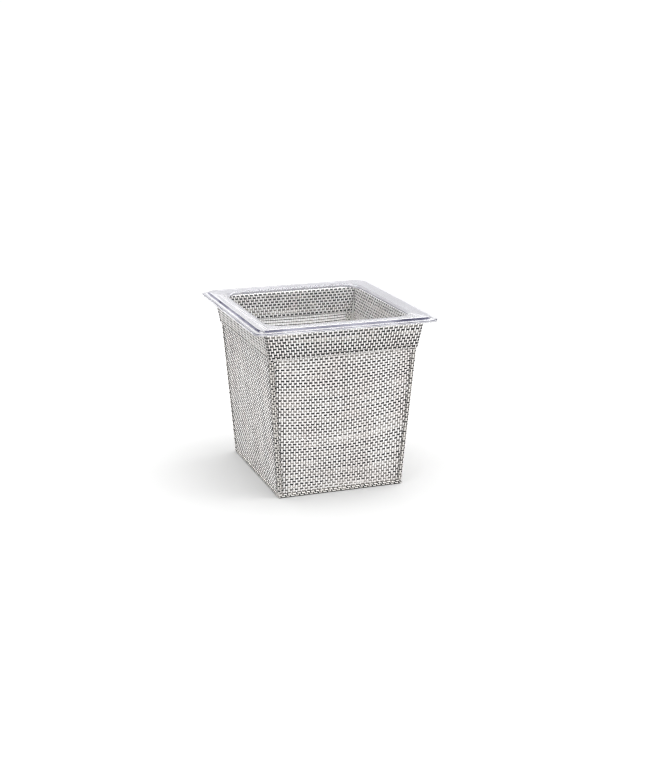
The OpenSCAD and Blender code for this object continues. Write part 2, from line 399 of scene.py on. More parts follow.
class Side(Enum):
    """The four walls, each with its turn from +X in degrees."""

    RIGHT = 0
    BACK = 90
    LEFT = 180
    FRONT = 270

    @property
    def axis(self) -> int:
        """0 for the left and right walls, 1 for the front and back."""
        return 0 if self in (Side.RIGHT, Side.LEFT) else 1

    def place(self, out: np.ndarray, along: np.ndarray, up: np.ndarray) -> np.ndarray:
        """Returns the points of a wall drawn facing +X, turned to this side."""
        cos, sin = round(math.cos(math.radians(self.value))), round(math.sin(math.radians(self.value)))
        return np.stack([cos * out - sin * along, sin * out + cos * along, up], axis=1)


@dataclass(frozen=True)
class BasketSizes:
    """The sizes that the basket's cloth follows, as the CAD source has them."""

    rim: tuple[float, float] = (81.0, 88.0)
    pan_base: tuple[float, float] = (52.5, 59.5)
    flange_w: float = 15.5
    pan_z: float = 4.0
    rim_under: float = 148.8
    height: float = 152.0
    basket_top: float = 148.5
    wire_z: float = 146.45
    neck_z: float = 124.0
    foot_z: float = 1.75
    edge_top: float = 3.9
    neck_gap: tuple[float, float] = (0.6, 1.7)
    base_gap: tuple[float, float] = (3.0, 6.3)
    pan_gap: float = 0.6
    cloth_t: float = 0.7
    seam_gap: float = 0.1
    wire_r: float = 1.25
    wrap_r: float = 2.05
    post_in: float = 1.55
    edge_in: float = 3.7
    strip_w: float = 5.0

    def pan_out(self, k: int, z: float) -> float:
        """Returns the pan body's half size on wall k at height z."""
        t = (z - self.pan_z) / (self.rim_under - self.pan_z)
        return self.pan_base[k] + (self.rim[k] - self.flange_w - self.pan_base[k]) * t

    def top_h(self, k: int) -> float:
        """Returns the half size of the band's outer face at the top."""
        return self.pan_out(k, self.basket_top) + self.pan_gap + 2 * self.wrap_r

    def neck_h(self, k: int) -> float:
        """Returns the half size of the panel's outer face where the band ends."""
        return self.pan_out(k, self.neck_z) + self.neck_gap[k] + 2 * self.cloth_t + self.seam_gap

    def base_h(self, k: int) -> float:
        """Returns the half size of the panel's outer face at the table."""
        return self.pan_base[k] + self.base_gap[k] + self.cloth_t

    def panel_out(self, k: int, z: np.ndarray | float) -> np.ndarray:
        """Returns the half size of the panel's outer face at height z."""
        top = self.top_h(k) - self.cloth_t - self.seam_gap
        return np.interp(z, [0, self.neck_z, self.wire_z], [self.base_h(k), self.neck_h(k), top])

    def foot_h(self, k: int) -> float:
        """Returns the half size of the bottom wire's axis."""
        return float(self.panel_out(k, self.foot_z)) - self.post_in

    def band_out(self, k: int, z: np.ndarray | float) -> np.ndarray:
        """Returns the half size of the band's outer face at height z."""
        neck = self.neck_h(k) + self.seam_gap + self.cloth_t
        return np.interp(z, [self.neck_z, self.wire_z], [neck, self.top_h(k)])


# ---- Woven cloth ----


class Yarn(Enum):
    """The sets of yarns: warp, off-white and flat; weft, dyed and narrow; and a thin dyed thread
    that floats along each weft on the reverse."""

    WARP = "warp"
    WEFT = "weft"
    FLOAT = "float"


@dataclass(frozen=True)
class Path:
    """A bent section line that a strip of cloth follows, with its length and outward normal."""

    points: np.ndarray

    @property
    def lengths(self) -> np.ndarray:
        """Returns the distance along the line at each of its points."""
        steps = np.linalg.norm(np.diff(self.points, axis=0), axis=1)
        return np.concatenate([[0.0], np.cumsum(steps)])

    def at(self, s: np.ndarray, lift: np.ndarray) -> np.ndarray:
        """Returns the points at distance s along the line, lifted off its outer side.

        Args:
            s: Distances along the line.
            lift: How far out from it each point is.

        Returns:
            Rows of the section's two coordinates.
        """
        along = self.lengths
        turn = np.gradient(self.points, along, axis=0)
        turn /= np.linalg.norm(turn, axis=1)[:, None]
        place = np.stack([np.interp(s, along, self.points[:, i]) for i in (0, 1)], axis=1)
        out = np.stack([np.interp(s, along, turn[:, 1]), np.interp(s, along, -turn[:, 0])], axis=1)
        return place + out * lift[:, None]


@dataclass(frozen=True)
class Weave:
    """A plain weave: flat off-white warps, and narrower dyed wefts that show as dashes between them.

    The wefts' tones change from row to row: dark, middling or pale, drifting slowly along each row.
    """

    warp_pitch: float = 2.25
    weft_pitch: float = 2.45
    warp_w: float = 2.1
    weft_w: float = 1.4
    yarn_t: float = 0.28
    reverse_w: float = 0.55
    crest_w: float = 0.66
    dark_rows: float = 0.3
    pale_rows: float = 0.2
    dark_and_shaded_end_rows: int = 0
    sides: int = 6
    float_w: float = 0.5
    float_t: float = 0.14
    float_step: int = 3
    dark_tones: tuple[float, float] = (-0.1, 0.08)
    middle_tones: tuple[float, float] = (0.22, 0.48)
    pale_tones: tuple[float, float] = (0.42, 0.62)
    drift: float = 0.18
    drift_cells: int = 7
    speck: float = 0.08
    warp_tone: float = 0.6
    warp_spread: float = 0.2
    float_fade: float = 0.5
    float_lift: float = 0.1

    def pitches(self, yarn: Yarn) -> tuple[float, float]:
        """Returns the spacing of this set of yarns and of the set it crosses."""
        both = self.warp_pitch, self.weft_pitch
        return both if yarn is Yarn.WARP else both[::-1]

    def straight(self, yarn: Yarn, length: float, across: float) -> tuple[bmesh.types.BMesh, np.ndarray]:
        """Lays out one set of yarns flat, along X and side by side in Y.

        Args:
            yarn: Which set.
            length: The length that they must cover.
            across: The width that they must cover side by side.

        Returns:
            The mesh, and each vertex's yarn number from the middle.
        """
        pitch, cross = self.pitches(yarn)
        width = {Yarn.WARP: self.warp_w, Yarn.WEFT: self.weft_w, Yarn.FLOAT: self.float_w}[yarn]
        thick = self.float_t if yarn is Yarn.FLOAT else self.yarn_t
        cross *= self.float_step if yarn is Yarn.FLOAT else 1
        reach = math.ceil(2 * length / cross) + 1
        beside = math.ceil(across / 2 / pitch)
        bm = bmesh.new()
        run = (2 * reach - 1) * cross / 2
        round_t = thick / math.cos(math.pi / self.sides)
        bmesh.ops.create_cone(
            bm, cap_ends=True, segments=self.sides, radius1=0.5, radius2=0.5, depth=run,
            matrix=Matrix.Diagonal((1, width, round_t, 1)) @ Matrix.Rotation(math.pi / 2, 4, "Y"),
        )
        long_edges = [e for e in bm.edges if abs(e.verts[0].co.x - e.verts[1].co.x) > run / 2]
        bmesh.ops.subdivide_edges(bm, edges=long_edges, cuts=2 * reach - 2, use_grid_fill=True)
        bmesh.ops.translate(bm, vec=(0, -beside * pitch, 0), verts=bm.verts)
        bmesh.ops.spin(
            bm, geom=bm.verts[:] + bm.edges[:] + bm.faces[:], cent=(0, 0, 0), axis=(0, 0, 1),
            dvec=(0, pitch, 0), angle=0.0, steps=2 * beside, use_duplicate=True, use_merge=False,
        )
        return bm, np.rint(points_of(bm)[:, 1] / pitch)

    def interlace(self, yarn: Yarn, bm: bmesh.types.BMesh, number: np.ndarray) -> np.ndarray:
        """Bends flat yarns over and under the ones they cross.

        Args:
            yarn: Which set they are.
            bm: The yarns.
            number: Each vertex's yarn number.

        Returns:
            The new points, with X along the weft, Y along the warp and Z through the cloth.
        """
        pitch, cross = self.pitches(yarn)
        points = points_of(bm)
        if yarn is Yarn.FLOAT:
            return points - np.array([0, 0, self.yarn_t])
        sign = 1.0 if yarn is Yarn.WEFT else -1.0
        swing = np.clip(math.sqrt(2) * np.cos(math.pi * points[:, 0] / cross), -1, 1)
        wave = sign * (-1.0) ** number * swing
        # a weft is pulled thin on the reverse, and a warp where it crosses over a weft
        under, over = (self.reverse_w, 1.0) if yarn is Yarn.WEFT else (1.0, self.crest_w)
        middle = number * pitch
        points[:, 1] = middle + (points[:, 1] - middle) * np.interp(wave, [-1, 1], [under, over])
        points[:, 2] += wave * self.yarn_t / 2
        if yarn is Yarn.WARP:
            points = np.stack([points[:, 1], -points[:, 0], points[:, 2]], axis=1)
        return points

    def tones(self, yarn: Yarn, points: np.ndarray, number: np.ndarray, seed: int) -> np.ndarray:
        """Returns each vertex's dye, from 0, the darkest, to 1.

        Args:
            yarn: Which set the vertices are in.
            points: Their flat places.
            number: Their yarn numbers.
            seed: A number of this piece's own.

        Returns:
            One tone for each vertex.
        """
        draw = np.random.default_rng(seed)
        row = (number - number.min()).astype(int)
        if yarn is Yarn.WARP:
            return np.clip(draw.normal(self.warp_tone, self.warp_spread, row.max() + 1), 0, 1)[row]
        cell = np.rint(points[:, 0] / self.warp_pitch)
        cell = (cell - cell.min()).astype(int)
        rows, cells = row.max() + 1, cell.max() + 1
        kind = draw.random(rows)
        # the end rows are made dark: partly a real dark row, partly painted shadow along the band's lower
        # edges
        kind[: self.dark_and_shaded_end_rows] = kind[rows - self.dark_and_shaded_end_rows:] = 0
        dark, middling = draw.uniform(*self.dark_tones, rows), draw.uniform(*self.middle_tones, rows)
        base = np.where(kind < self.dark_rows, dark, middling)
        base = np.where(kind > 1 - self.pale_rows, draw.uniform(*self.pale_tones, rows), base)
        if yarn is Yarn.FLOAT:  # darker than the wefts, whose backs they run along
            base = base * self.float_fade + self.float_lift
        knots = draw.normal(0, self.drift, (rows, cells // self.drift_cells + 2))
        at = np.arange(cells) / self.drift_cells
        low = at.astype(int)
        slow = knots[:, low] + (knots[:, low + 1] - knots[:, low]) * (at - low)
        return np.clip(base[:, None] + slow + draw.normal(0, self.speck, (rows, cells)), 0, 1)[row, cell]


@dataclass(frozen=True)
class Cut:
    """A straight cut through flat cloth: a point on it and the direction of what falls away."""

    at: tuple[float, float]
    away: tuple[float, float]


def rectangle(half_x: float, half_y: float) -> tuple[Cut, ...]:
    """Returns the four cuts that leave a rectangle about the middle."""
    return (
        Cut((half_x, 0), (1, 0)), Cut((-half_x, 0), (-1, 0)),
        Cut((0, half_y), (0, 1)), Cut((0, -half_y), (0, -1)),
    )


@dataclass
class ClothPiece:
    """One cut of cloth, woven flat and then laid in its place. It stands for the CAD node of its name."""

    name: str
    weave: Weave
    size: tuple[float, float]
    lay: Lay
    seed: int
    slot: str
    area: float | None = None
    rests_on: tuple[str, ...] = ()
    held: str = "stretched"
    weft_up: bool = False
    shift: Lay | None = None
    cuts: Sequence[Cut] = field(default_factory=tuple)
    mirrored: bool = False
    margin: float = 0.0
    has_floats: bool = False

    def flat_yarns(self, yarn: Yarn) -> bmesh.types.BMesh:
        """Returns one set of this cloth's yarns, flat, dyed and cut to its outline.

        Args:
            yarn: Which set.

        Returns:
            The yarns as a mesh in millimetres.
        """
        room = (self.size[0] / 2 + self.margin, self.size[1] / 2 + self.margin)
        along, beside = room if (yarn is not Yarn.WARP) != self.weft_up else room[::-1]
        bm, number = self.weave.straight(yarn, along, 2 * beside)
        tone = self.weave.tones(yarn, points_of(bm), number, self.seed + list(Yarn).index(yarn))
        dye = bm.verts.layers.float.new("tone")
        for vert, value in zip(bm.verts, tone.tolist()):
            vert[dye] = value
        points = self.weave.interlace(yarn, bm, number)
        if self.weft_up:
            points = np.stack([-points[:, 1], points[:, 0], points[:, 2]], axis=1)
        if self.shift:
            points = self.shift(points)
        move_points(bm, points)
        for cut in self.cuts:
            geometry = bm.verts[:] + bm.edges[:] + bm.faces[:]
            bmesh.ops.bisect_plane(
                bm, geom=geometry, dist=1e-5, plane_co=(*cut.at, 0), plane_no=(*cut.away, 0), clear_outer=True
            )
        bmesh.ops.holes_fill(bm, edges=[e for e in bm.edges if e.is_boundary], sides=0)
        return bm

    def build(self, finishes: dict[Yarn, bpy.types.Material]) -> list[bpy.types.Object]:
        """Args:
            finishes: The material of each set of yarns.

        Returns:
            The warp piece, the weft piece and, where the cloth has them, the floats.
        """
        made = []
        for yarn in Yarn if self.has_floats else (Yarn.WARP, Yarn.WEFT):
            bm = self.flat_yarns(yarn)
            move_points(bm, self.lay(points_of(bm)))
            if self.mirrored:
                bmesh.ops.reverse_faces(bm, faces=bm.faces)
            piece = finish_piece(bm, f"{self.name}_{yarn.value}", finishes[yarn])
            dress(piece, Body.BASKET, self.slot, *([self.name] if yarn is Yarn.WARP else []))
            made.append(piece)
        return made


@dataclass
class WallPanel:
    """One wall of mesh. The front and back have their wefts level, the left and right upright,
    because the body is one cross-shaped cut folded up."""

    side: Side
    sizes: BasketSizes
    seed: int
    weave: Weave = field(default_factory=lambda: Weave(reverse_w=0.4))
    bulge: float = 0.7
    bow: float = 0.00125
    bow_low: float = -15.0
    bow_drop: float = 1.5
    belly_z: tuple[float, ...] = (4.0, 30.0, 70.0, 105.0)
    belly_out: tuple[float, ...] = (0.0, 1.0, 0.7, -0.3, 0.0)
    pull_z: tuple[float, ...] = (0.0, 12.0, 55.0, 95.0, 126.0)
    pull: tuple[float, ...] = (0.0, 0.1, 1.0, 1.0, 0.2)
    sway: float = 1.1
    sway_run: tuple[float, float] = (21.0, 60.0)
    sway_z: tuple[float, ...] = (0.0, 30.0, 110.0, 135.0)
    sway_share: tuple[float, ...] = (0.0, 1.0, 1.0, 0.0)

    def lay(self, points: np.ndarray) -> np.ndarray:
        """Returns flat points (along, height, through) on the wall, bellied a little between its edges.

        Args:
            points: Rows of x, y and z on the flat cloth.

        Returns:
            The same points on the wall.
        """
        s, k = self.sizes, self.side.axis
        half = s.panel_out(1 - k, points[:, 1]) - s.edge_in
        belly = np.cos(np.clip(points[:, 0] / half, -1, 1) * math.pi / 2)
        swell = np.interp(points[:, 1], [*self.belly_z, s.neck_z], self.belly_out)
        middle = s.panel_out(k, points[:, 1]) - s.cloth_t / 2 + self.bulge * belly * swell
        return self.side.place(middle + points[:, 2], points[:, 0], points[:, 1])

    def shift(self, points: np.ndarray) -> np.ndarray:
        """Returns flat points with the yarns drawn out of line, as the tailoring pulls them.

        Args:
            points: Rows of x, y and z on the flat cloth.

        Returns:
            The same points, still flat, with Y now the height above the table.
        """
        s = self.sizes
        z = points[:, 1] + (s.edge_top + s.wire_z) / 2
        a = points[:, 0]
        if self.side.axis == 1:
            pull = np.interp(z, self.pull_z, self.pull)
            rise = self.bow * (a - self.bow_low) ** 2 * pull - self.bow_drop * pull
            return np.stack([a, z + rise, points[:, 2]], axis=1)
        wave = np.sin(z / self.sway_run[0] + a / self.sway_run[1])
        sway = self.sway * wave * np.interp(z, self.sway_z, self.sway_share)
        return np.stack([a + sway, z, points[:, 2]], axis=1)

    def piece(self) -> ClothPiece:
        """Returns this wall's cloth.

        Returns:
            The cloth, ready to build.
        """
        s, k = self.sizes, self.side.axis
        top = s.wire_z - s.wire_r - s.seam_gap
        low = float(s.panel_out(1 - k, s.edge_top)) - s.edge_in
        high = float(s.panel_out(1 - k, s.neck_z)) - s.edge_in
        lean = (high - low) / (s.neck_z - s.edge_top)
        wide = low + lean * (top - s.edge_top)
        tall = top - s.edge_top
        name = self.side.name.lower()
        return ClothPiece(
            f"{name}_panel", self.weave, (2 * wide, tall), self.lay, self.seed, "woven_mesh",
            area=(low + wide) * tall, margin=12.0,
            rests_on=("top_hoop", "bottom_hoop"), weft_up=k == 0, has_floats=True, shift=self.shift,
            cuts=(
                Cut((low, s.edge_top), (1, -lean)), Cut((-low, s.edge_top), (-1, -lean)),
                Cut((0, s.edge_top), (0, -1)), Cut((0, top), (0, 1)),
            ),
        )


def arc(centre: tuple[float, float], radius: float, start: float, end: float, steps: int = 14) -> np.ndarray:
    """Returns points on a circle's arc, between two angles in degrees."""
    a = np.radians(np.linspace(start, end, steps))
    return np.stack([centre[0] + radius * np.cos(a), centre[1] + radius * np.sin(a)], axis=1)


def line(start: tuple[float, float], end: tuple[float, float], steps: int = 12) -> np.ndarray:
    """Returns points on a straight line, without its last point."""
    t = np.linspace(0, 1, steps, endpoint=False)[:, None]
    return np.array(start) + (np.array(end) - np.array(start)) * t


@dataclass
class FoldedBand:
    """The strip folded over the top wire on one wall, face outward on both sides."""

    side: Side
    sizes: BasketSizes
    seed: int
    # two dark rows at each end: partly a real dark row, partly painted shadow at the band's lower edges
    weave: Weave = field(
        default_factory=lambda: Weave(
            weft_w=1.5, weft_pitch=2.6, dark_rows=0.6, pale_rows=0.03, reverse_w=1.0, dark_and_shaded_end_rows=2
        )
    )
    end_in: float = 1.0
    outer_gap: float = 0.3
    inner_lap: float = 0.6

    def __post_init__(self) -> None:
        """Works out the strip's section line, from its outer lower edge over the wire."""
        s, k = self.sizes, self.side.axis
        half_t = s.cloth_t / 2
        top = s.top_h(k)
        inner_end = (s.neck_h(k) - 2 * s.cloth_t - s.seam_gap + half_t, s.neck_z)
        self.fold = Path(np.concatenate([
            line((float(s.band_out(k, s.neck_z)) - half_t, s.neck_z), (top - half_t, s.wire_z)),
            arc((top - s.wrap_r, s.wire_z), s.wrap_r - half_t, 0, 180)[:-1],
            line((top - 2 * s.wrap_r + half_t, s.wire_z), inner_end),
            [inner_end],
        ]))
        self.width = float(self.fold.lengths[-1])

    def lay(self, points: np.ndarray) -> np.ndarray:
        """Returns flat points (along, across the strip, through) on the folded band.

        Args:
            points: Rows of x, y and z on the flat cloth.

        Returns:
            The same points on the band.
        """
        s, k = self.sizes, self.side.axis
        across = np.clip(points[:, 1] + self.width / 2, 0, self.width)
        place = self.fold.at(across, points[:, 2])
        out, z = place[:, 0], place[:, 1]
        inner = np.clip((across - (s.wire_z - s.neck_z)) / (math.pi * s.wrap_r), 0, 1)
        outside = s.band_out(1 - k, z) - s.seam_gap - self.outer_gap
        inside = s.panel_out(1 - k, z) - s.edge_in + self.inner_lap
        half = outside + (inside - outside) * inner
        scale = half / (self.length / 2)
        return self.side.place(out, points[:, 0] * scale, z)

    @property
    def length(self) -> float:
        """Returns the strip's length, along the wall."""
        return 2 * (self.sizes.top_h(1 - self.side.axis) - self.end_in)

    def piece(self) -> ClothPiece:
        """Returns this wall's band.

        Returns:
            The cloth, ready to build.
        """
        name = self.side.name.lower()
        return ClothPiece(
            f"{name}_band", self.weave, (self.length, self.width), self.lay, self.seed, "band_mesh",
            rests_on=("top_hoop",), held="folded", cuts=rectangle(self.length / 2, self.width / 2),
        )


@dataclass
class CornerWrap:
    """The strip wrapped round one corner wire, its ends sewn behind the two panels."""

    across: int
    along: int
    sizes: BasketSizes
    seed: int
    weave: Weave = field(
        default_factory=lambda: Weave(
            warp_pitch=1.9, weft_pitch=2.2, warp_w=1.75, weft_w=1.25,
            dark_rows=0.3, pale_rows=0.15, reverse_w=1.0,
        )
    )

    def __post_init__(self) -> None:
        """Works out the strip's section line, in distances in from the side wall and from the end wall."""
        s = self.sizes
        back = s.cloth_t + s.seam_gap + s.cloth_t / 2
        end = s.edge_in + s.strip_w
        radius = s.wrap_r - s.cloth_t / 2
        lead = math.degrees(math.asin((back - s.post_in) / radius))
        turn = s.post_in + radius * math.cos(math.radians(lead))
        self.bend = Path(np.concatenate([
            line((end, back), (turn, back)),
            arc((s.post_in, s.post_in), radius, lead, -270 - lead, 30)[:-1],
            line((back, turn), (back, end)),
            [(back, end)],
        ]))
        self.width = float(self.bend.lengths[-1])
        self.top = s.neck_z - s.seam_gap

    def lay(self, points: np.ndarray) -> np.ndarray:
        """Returns flat points (across the strip, height, through) round the corner wire.

        Args:
            points: Rows of x, y and z on the flat cloth.

        Returns:
            The same points round the corner wire.
        """
        s = self.sizes
        place = self.bend.at(np.clip(points[:, 0] + self.width / 2, 0, self.width), -points[:, 2])
        z = points[:, 1] + (self.top + s.edge_top) / 2
        x = s.panel_out(0, z) - place[:, 0]
        y = s.panel_out(1, z) - place[:, 1]
        return np.stack([self.across * x, self.along * y, z], axis=1)

    def piece(self) -> ClothPiece:
        """Returns this corner's strip.

        Returns:
            The cloth, ready to build.
        """
        s = self.sizes
        name = ("back" if self.along > 0 else "front") + "_" + ("right" if self.across > 0 else "left")
        tall = self.top - s.edge_top
        return ClothPiece(
            f"corner_{name}", self.weave, (self.width, tall), self.lay, self.seed, "edging_mesh",
            rests_on=(f"post_{name}",), held="folded",
            mirrored=self.across * self.along > 0, cuts=rectangle(self.width / 2, tall / 2),
        )


@dataclass
class BottomEdge:
    """The strip wrapped round the bottom wire along one wall, cut on the slant."""

    side: Side
    sizes: BasketSizes
    seed: int
    slant: float = 0.45
    weave: Weave = field(
        default_factory=lambda: Weave(
            warp_pitch=1.8, weft_pitch=2.1, warp_w=1.65, weft_w=1.3,
            dark_rows=0.45, pale_rows=0.1, reverse_w=1.0,
        )
    )

    def __post_init__(self) -> None:
        """Works out the strip's section line, round the wire from the inside under it and back."""
        s, k = self.sizes, self.side.axis
        radius = s.wrap_r - s.cloth_t / 2
        self.wire_out = s.foot_h(k)
        self.bend = Path(arc((self.wire_out, s.foot_z), radius, -200, 160, 40))
        self.width = float(self.bend.lengths[-1])
        self.length = 2 * (s.foot_h(1 - k) + s.wrap_r)

    def lay(self, points: np.ndarray) -> np.ndarray:
        """Returns flat points (round the wire, along the wall, through) in their place.

        Args:
            points: Rows of x, y and z on the flat cloth.

        Returns:
            The same points round the bottom wire.
        """
        s, k = self.sizes, self.side.axis
        place = self.bend.at(np.clip(points[:, 0] + self.width / 2, 0, self.width), points[:, 2])
        ends = s.foot_h(1 - k) - self.wire_out + place[:, 0] - s.seam_gap
        along = -points[:, 1] / (self.length / 2) * ends
        return self.side.place(place[:, 0], along, np.maximum(place[:, 1], 0.02))

    def shift(self, points: np.ndarray) -> np.ndarray:
        """Returns flat points sheared, so that the wefts cross the strip at a slant."""
        return np.stack([points[:, 0], points[:, 1] + self.slant * points[:, 0], points[:, 2]], axis=1)

    def piece(self) -> ClothPiece:
        """Returns this wall's bottom strip.

        Returns:
            The cloth, ready to build.
        """
        name = self.side.name.lower()
        return ClothPiece(
            f"{name}_base_edge", self.weave, (self.width, self.length), self.lay, self.seed, "edging_mesh",
            rests_on=("bottom_hoop",), held="folded", shift=self.shift,
            margin=6.0, cuts=rectangle(self.width / 2, self.length / 2),
        )


@dataclass
class BasePanel:
    """The flat bottom of mesh."""

    sizes: BasketSizes
    seed: int
    weave: Weave = field(default_factory=Weave)

    def lay(self, points: np.ndarray) -> np.ndarray:
        """Returns flat points at the height of the bottom wire."""
        return points + np.array([0, 0, self.sizes.foot_z])

    def piece(self) -> ClothPiece:
        """Returns the bottom's cloth.

        Returns:
            The cloth, ready to build.
        """
        s = self.sizes
        hx, hy = (s.foot_h(k) - s.wrap_r - s.seam_gap for k in (0, 1))
        return ClothPiece(
            "base_panel", self.weave, (2 * hx, 2 * hy), self.lay, self.seed, "woven_mesh",
            rests_on=("bottom_hoop",), cuts=rectangle(hx, hy),
        )


# ---- Stitches ----


@dataclass
class Stitches:
    """The rows of lockstitch beside the corners and along the bands' lower edges."""

    sizes: BasketSizes
    pitch: float = 4.6
    length: float = 3.0
    thread_d: float = 0.6
    band_row: float = 2.6
    end_pitch: float = 2.6
    end_length: float = 2.0
    end_from: float = 0.6
    end_in: tuple[float, float] = (1.6, 0.6)
    sunk: float = 0.15
    end_sunk: float = 0.2
    overrun: float = 1.06

    def one(self, bm: bmesh.types.BMesh, start: Vector, end: Vector) -> None:
        """Adds one stitch: a thread that rises out of the cloth and dips back in.

        Args:
            bm: The mesh to add to.
            start: Where the thread comes up.
            end: Where it goes down.
        """
        middle, run = (start + end) / 2, end - start
        shape = Matrix.Diagonal((self.thread_d / 2, self.thread_d / 2, run.length / 2 * self.overrun, 1))
        bmesh.ops.create_uvsphere(
            bm, u_segments=8, v_segments=7, radius=1.0,
            matrix=Matrix.Translation(middle) @ run.to_track_quat("Z", "Y").to_matrix().to_4x4() @ shape,
        )

    def ends(
        self, side: Side, out: np.ndarray, along: np.ndarray, up: np.ndarray
    ) -> tuple[Vector, Vector]:
        """Returns where one stitch of a wall starts and ends.

        Args:
            side: The wall.
            out: How far out each end is.
            along: How far along the wall each end is.
            up: Each end's height.

        Returns:
            The two ends.
        """
        start, end = side.place(out, along, up)
        return Vector(start), Vector(end)

    def spots(self, side: Side) -> list[tuple[Vector, Vector]]:
        """Returns where this wall's corner stitches start and end.

        Args:
            side: The wall.

        Returns:
            The start and end of each stitch.
        """
        s, k = self.sizes, side.axis
        first = s.edge_top + self.pitch / 2
        count = int((s.neck_z - first - self.length) / self.pitch) + 1
        lift = self.thread_d / 2 - self.sunk
        found = []
        for sign in (-1, 1):
            for i in range(count):
                z = np.array([first + i * self.pitch, first + i * self.pitch + self.length])
                along = sign * (s.panel_out(1 - k, z) - s.edge_in - self.thread_d)
                found.append(self.ends(side, s.panel_out(k, z) + lift, along, z))
        return found

    def band_spots(self, side: Side) -> list[tuple[Vector, Vector]]:
        """Returns where this wall's band stitches start and end.

        Args:
            side: The wall.

        Returns:
            The start and end of each stitch.
        """
        s, k = self.sizes, side.axis
        z = s.neck_z + self.band_row
        out = float(s.band_out(k, z)) + self.thread_d / 2 - self.sunk
        count = int(2 * (float(s.band_out(1 - k, z)) - s.edge_in) / self.pitch)
        found = []
        for i in range(count):
            a = (i - (count - 1) / 2) * self.pitch
            run = np.array([a - self.length / 2, a + self.length / 2])
            found.append(self.ends(side, np.full(2, out), run, np.full(2, z)))
        return found

    def seam_spots(self, side: Side) -> list[tuple[Vector, Vector]]:
        """Returns where the stitches that close this wall's band ends start and end, on both faces.

        Args:
            side: The wall.

        Returns:
            The start and end of each stitch.
        """
        s, k = self.sizes, side.axis
        lift = self.thread_d / 2 - self.end_sunk
        insides = [s.neck_h(k) - 2 * s.cloth_t - s.seam_gap, s.top_h(k) - 2 * s.wrap_r]
        found = []
        for i in range(int((s.wire_z - s.neck_z) / self.end_pitch)):
            z = s.neck_z + self.end_from + i * self.end_pitch + np.array([0, self.end_length])
            outer = s.band_out(k, z) + lift, s.band_out(1 - k, z) - self.end_in[0]
            inside = np.interp(z, [s.neck_z, s.wire_z], insides) - lift
            inner = inside, s.panel_out(1 - k, z) - s.edge_in - self.end_in[1]
            for sign in (-1, 1):
                for out, along in (outer, inner):
                    found.append(self.ends(side, out, sign * along, z))
        return found

    def build(self, corner: bpy.types.Material, band: bpy.types.Material) -> None:
        """Makes the pieces of stitching.

        Args:
            corner: The thread beside the corners and at the bands' ends.
            band: The thread along the bands' lower edges.
        """
        rows = (
            ("corner_stitch_rows", self.spots, corner, "corner_stitching"),
            ("band_stitch_rows", self.band_spots, band, "band_stitching"),
            ("band_end_stitches", self.seam_spots, corner, ""),
        )
        for name, spots, finish, node in rows:
            bm = bmesh.new()
            for side in Side:
                for start, end in spots(side):
                    self.one(bm, start, end)
            dress(finish_piece(bm, name, finish), Body.BASKET, "thread", *([node] if node else []))


# ---- The clear pan ----


